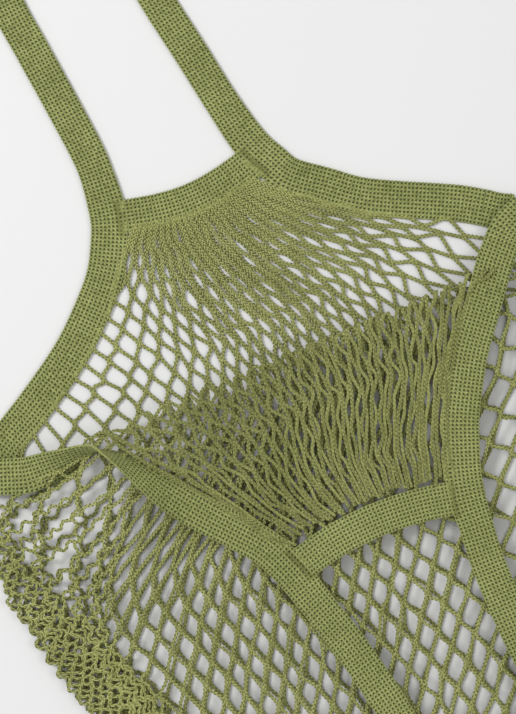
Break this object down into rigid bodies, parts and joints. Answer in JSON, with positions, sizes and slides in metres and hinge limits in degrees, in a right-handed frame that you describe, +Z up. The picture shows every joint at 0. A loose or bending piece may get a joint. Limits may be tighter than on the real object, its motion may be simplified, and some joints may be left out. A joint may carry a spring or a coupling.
{
  "type": "mesh produce bag",
  "caption": "Knitted net produce bag lying flat, with tape-bound side openings, gathered necks, a folded front flap and long tape handles.",
  "frame": {"origin": "middle of the bounding box's underside, on the surface that the bag lies on", "axes": "+X to the bag's right, +Y from the bag's bottom towards its back handle, +Z up from the surface that it lies on"},
  "size_m": [0.3799, 0.6602, 0.015],
  "materials": {
    "knitted_net": "matte knitted cotton cord, moss green",
    "knitted_tape": "matte ribbed cotton tape, moss green",
    "seam_thread": "matte sewing thread, yellower olive"
  },
  "bodies": {
    "bag": {"back_net": "knitted_net", "front_net_middle": "knitted_net", "front_net_left_side": "knitted_net", "front_net_right_side": "knitted_net", "front_net_bottom": "knitted_net", "bottom_seam": "knitted_net", "back_neck_band": "knitted_tape", "left_edge_tape_back": "knitted_tape", "right_edge_tape_back": "knitted_tape", "left_edge_tape_front": "knitted_tape", "right_edge_tape_front": "knitted_tape", "left_edge_tape_turn": "knitted_tape", "right_edge_tape_turn": "knitted_tape", "back_left_corner_seam": "seam_thread", "back_right_corner_seam": "seam_thread"},
    "front_flap": {"front_flap_net": "knitted_net", "front_neck_band": "knitted_tape", "left_flap_tape": "knitted_tape", "right_flap_tape": "knitted_tape", "front_left_corner_seam": "seam_thread", "front_right_corner_seam": "seam_thread"},
    "back_handle": {"back_handle_left_strap": "knitted_tape", "back_handle_right_strap": "knitted_tape", "back_handle_seam": "seam_thread"},
    "front_handle": {"front_handle_left_strap": "knitted_tape", "front_handle_right_strap": "knitted_tape", "front_handle_seam": "seam_thread"}
  },
  "joints": [
    {"name": "back_handle_swing", "type": "hinge", "parent": "bag", "child": "back_handle", "pos_m": [0, 0.12973, 0.0025], "axis": [1, 0, 0], "range_deg": [0, 90]},
    {"name": "front_flap_fold", "type": "hinge", "parent": "bag", "child": "front_flap", "pos_m": [0, 0.00622, 0.0116], "axis": [-1, 0, 0], "range_deg": [0, 90]},
    {"name": "front_handle_swing", "type": "hinge", "parent": "front_flap", "child": "front_handle", "pos_m": [0, -0.11828, 0.0145], "axis": [-1, 0, 0], "range_deg": [0, 90]}
  ]
}
